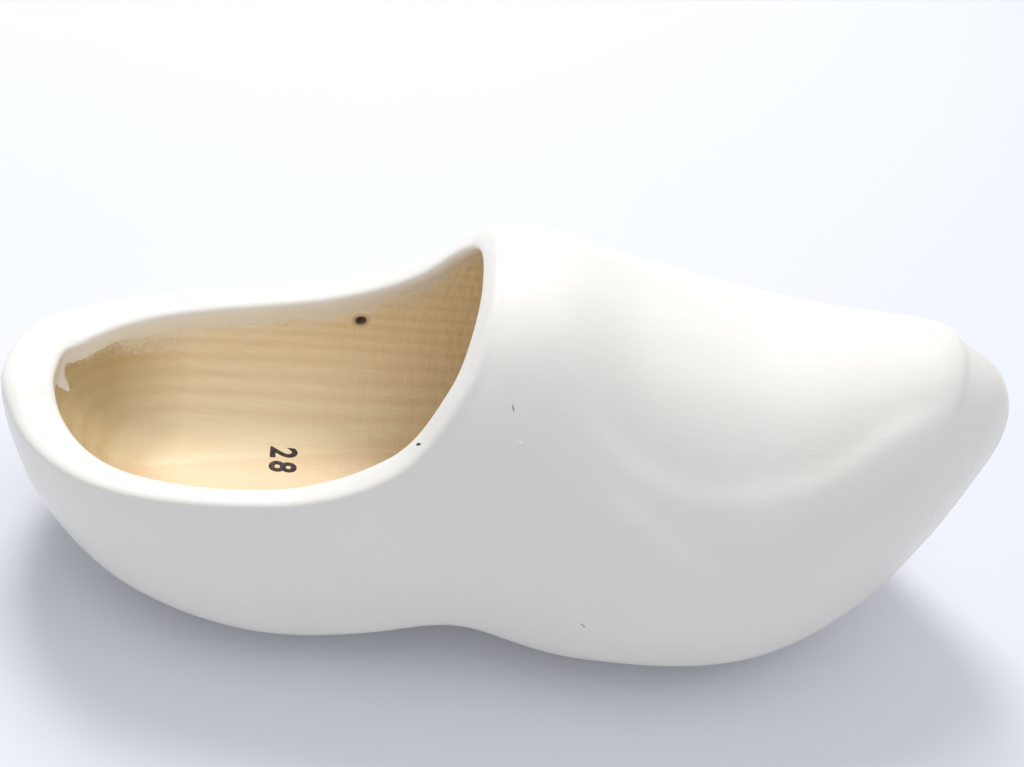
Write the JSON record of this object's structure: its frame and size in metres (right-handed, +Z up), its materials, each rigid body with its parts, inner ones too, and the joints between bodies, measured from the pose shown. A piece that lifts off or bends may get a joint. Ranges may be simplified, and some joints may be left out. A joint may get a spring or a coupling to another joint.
{
  "type": "wooden clog",
  "caption": "Carved poplar clog for the right foot, painted white outside and over the rim, with a bare wood interior and an upturned pointed nose.",
  "frame": {"origin": "middle of the clog's plan outline, on the ground that the heel and ball treads stand on", "axes": "+X towards the toe, +Y towards the inner side of the right foot, +Z up"},
  "size_m": [0.3202, 0.1226, 0.1173],
  "materials": {
    "poplar": "bare, carved and lightly sanded",
    "white_paint": "satin-gloss lacquer, sprayed"
  },
  "bodies": {
    "root": {"wood_body": "poplar", "paint_coat": "white_paint"}
  },
  "joints": []
}
